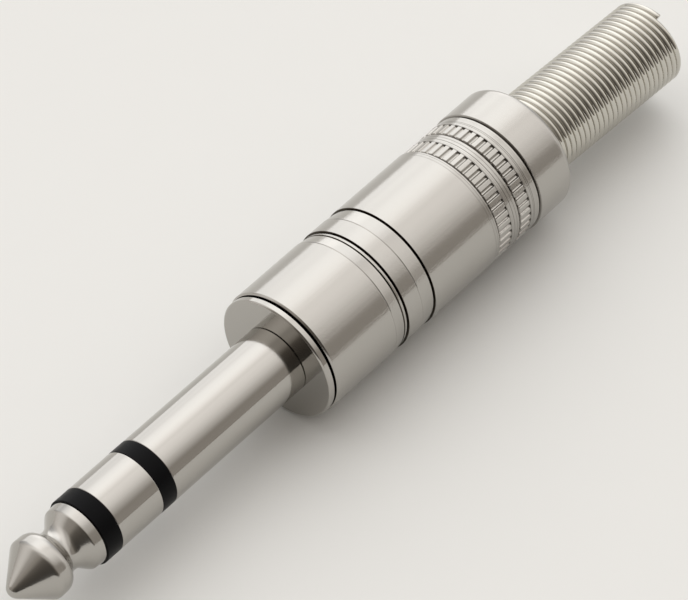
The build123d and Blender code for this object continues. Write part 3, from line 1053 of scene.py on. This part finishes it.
def gradient(tree, direction, levels, dim_tint):
    """Light whose level depends on the cosine to one direction, and whose tint fades with the level.

    The levels run from a cosine of -1 to one of 1, where the ramp's own two stops lie.
    """
    position = add_node(tree, "ShaderNodeTexCoord")
    facing = add_node(
        tree, "ShaderNodeVectorMath", {"operation": "DOT_PRODUCT", 1: direction},
        {0: position.outputs["Generated"]},
    )
    share = add_node(
        tree, "ShaderNodeMapRange", {"From Min": -1.0, "From Max": 1.0}, {"Value": facing.outputs["Value"]},
    )
    ramp = add_node(tree, "ShaderNodeValToRGB", links={"Fac": share.outputs["Result"]})
    stops = ramp.color_ramp.elements
    for cosine, _ in levels[1:-1]:
        stops.new((cosine + 1) / 2)
    strongest = max(level for _, level in levels)
    dim = np.array(dim_tint)
    for stop, (_, level) in zip(stops, levels):
        tint = dim + (1 - dim) * min(level, 1)
        stop.color = (*(tint * level / strongest), 1)
    return add_node(
        tree, "ShaderNodeBackground", {"Strength": SKY_STRENGTH * strongest},
        {"Color": ramp.outputs["Color"]},
    )


def studio_light(scene):
    """Two soft gradients: a large window to one side, and the walls of a room with dark gaps in them."""
    world = bpy.data.worlds.new("studio")
    scene.world = world
    world.use_nodes = True
    tree = world.node_tree
    tree.nodes.clear()
    window = gradient(tree, WINDOW_DIRECTION, WINDOW, (1, 1, 1))
    room = gradient(tree, ROOM_DIRECTION, ROOM, DIM_TINT)
    light = add_node(
        tree, "ShaderNodeAddShader", links={0: window.outputs["Background"], 1: room.outputs["Background"]},
    )
    add_node(tree, "ShaderNodeOutputWorld", links={"Surface": light.outputs["Shader"]})


class JACKPLUG_OT_stage(bpy.types.Operator):
    """Pale floor, soft light and the camera"""

    bl_idname = "jackplug.stage"
    bl_label = "Stage"

    def execute(self, context):
        scene = context.scene
        scene.view_settings.view_transform = "Standard"
        square = ((-1, -1), (1, -1), (1, 1), (-1, 1))
        corners = [(x * FLOOR_HALF, y * FLOOR_HALF, cad_box[0][2]) for x, y in square]
        mesh = bpy.data.meshes.new("floor")
        mesh.from_pydata(corners, [], [(0, 1, 2, 3)])
        floor = bpy.data.objects.new("floor", mesh)
        scene.collection.objects.link(floor)
        floor.data.materials.append(painted_board(scene.jackplug_colours))
        studio_light(scene)
        lens = bpy.data.cameras.new("view")
        lens.sensor_width = CAMERA_SENSOR
        lens.lens = CAMERA_LENS
        lens.clip_start, lens.clip_end = CAMERA_CLIP
        camera = bpy.data.objects.new("view", lens)
        camera.location = CAMERA_PLACE
        level = cos(CAMERA_ELEVATION)
        towards = Vector((-sin(CAMERA_AZIMUTH) * level, cos(CAMERA_AZIMUTH) * level, -sin(CAMERA_ELEVATION)))
        camera.rotation_euler = towards.to_track_quat("-Z", "Y").to_euler()
        scene.collection.objects.link(camera)
        scene.camera = camera
        return {"FINISHED"}


class JACKPLUG_PT_sidebar(bpy.types.Panel):
    """Sidebar panel with the plug's sizes, colours and makers"""

    bl_label = "Jack Plug"
    bl_idname = "JACKPLUG_PT_sidebar"
    bl_space_type = "VIEW_3D"
    bl_region_type = "UI"
    bl_category = "Jack Plug"

    def draw(self, context):
        layout = self.layout
        for group in (context.scene.jackplug_sizes, context.scene.jackplug_colours):
            for name in group.__annotations__:
                layout.prop(group, name)
        for maker in makers:
            layout.operator(maker.bl_idname)


makers = (
    JACKPLUG_OT_tip_contact,
    JACKPLUG_OT_insulating_rings,
    JACKPLUG_OT_ring_contact,
    JACKPLUG_OT_sleeve_body,
    JACKPLUG_OT_shell,
    JACKPLUG_OT_spring,
    JACKPLUG_OT_inner_parts,
    JACKPLUG_OT_stage,
)
classes = (JackPlugSizes, JackPlugColours, *makers, JACKPLUG_PT_sidebar)


def register():
    for item in classes:
        bpy.utils.register_class(item)
    bpy.types.Scene.jackplug_sizes = bpy.props.PointerProperty(type=JackPlugSizes)
    bpy.types.Scene.jackplug_colours = bpy.props.PointerProperty(type=JackPlugColours)


def unregister():
    del bpy.types.Scene.jackplug_colours
    del bpy.types.Scene.jackplug_sizes
    for item in reversed(classes):
        bpy.utils.unregister_class(item)


def main():
    """Registers the add-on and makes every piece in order."""
    register()
    for maker in makers:
        group, name = maker.bl_idname.split(".")
        getattr(getattr(bpy.ops, group), name)()
    bpy.context.view_layer.update()


if __name__ == "__main__":
    main()
